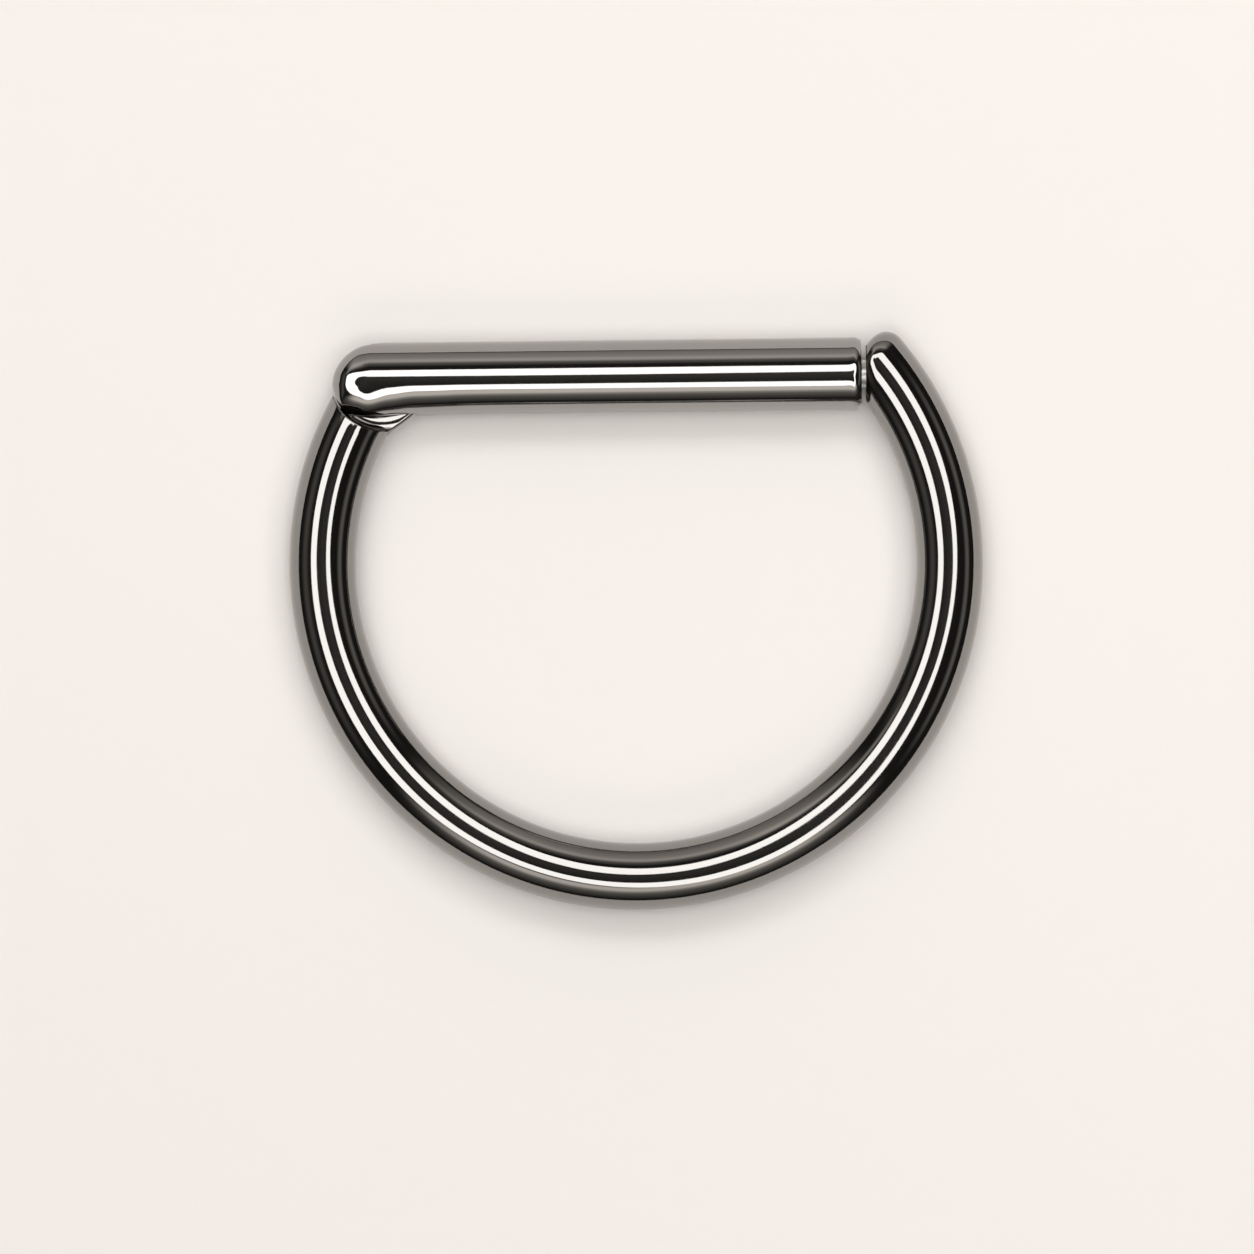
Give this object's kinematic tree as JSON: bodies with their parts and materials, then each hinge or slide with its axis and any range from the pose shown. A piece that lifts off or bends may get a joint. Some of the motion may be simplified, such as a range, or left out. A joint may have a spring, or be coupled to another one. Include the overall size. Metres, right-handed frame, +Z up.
{
  "type": "hinged segment ring",
  "caption": "D-shaped hinged segment ring in polished dark steel: bent wire body, straight hinged bar, snap closure.",
  "frame": {"origin": "under the middle of the ring's outline, on the surface that it lies on", "axes": "+Z up along the hinge pin, +Y from the round side towards the straight bar, +X along the bar from the hinge to the closure"},
  "size_m": [0.0124, 0.0102, 0.0013],
  "materials": {
    "polished_steel": "polished",
    "pin_steel": "polished"
  },
  "bodies": {
    "body": {"curved_body": "polished_steel"},
    "hinged_bar": {"bar": "polished_steel", "hinge_pin": "pin_steel"}
  },
  "joints": [
    {"name": "bar_hinge", "type": "hinge", "parent": "body", "child": "hinged_bar", "pos_m": [-0.00449, 0.00439, 0.00065], "axis": [0, 0, 1], "range_deg": [0, 90]}
  ]
}
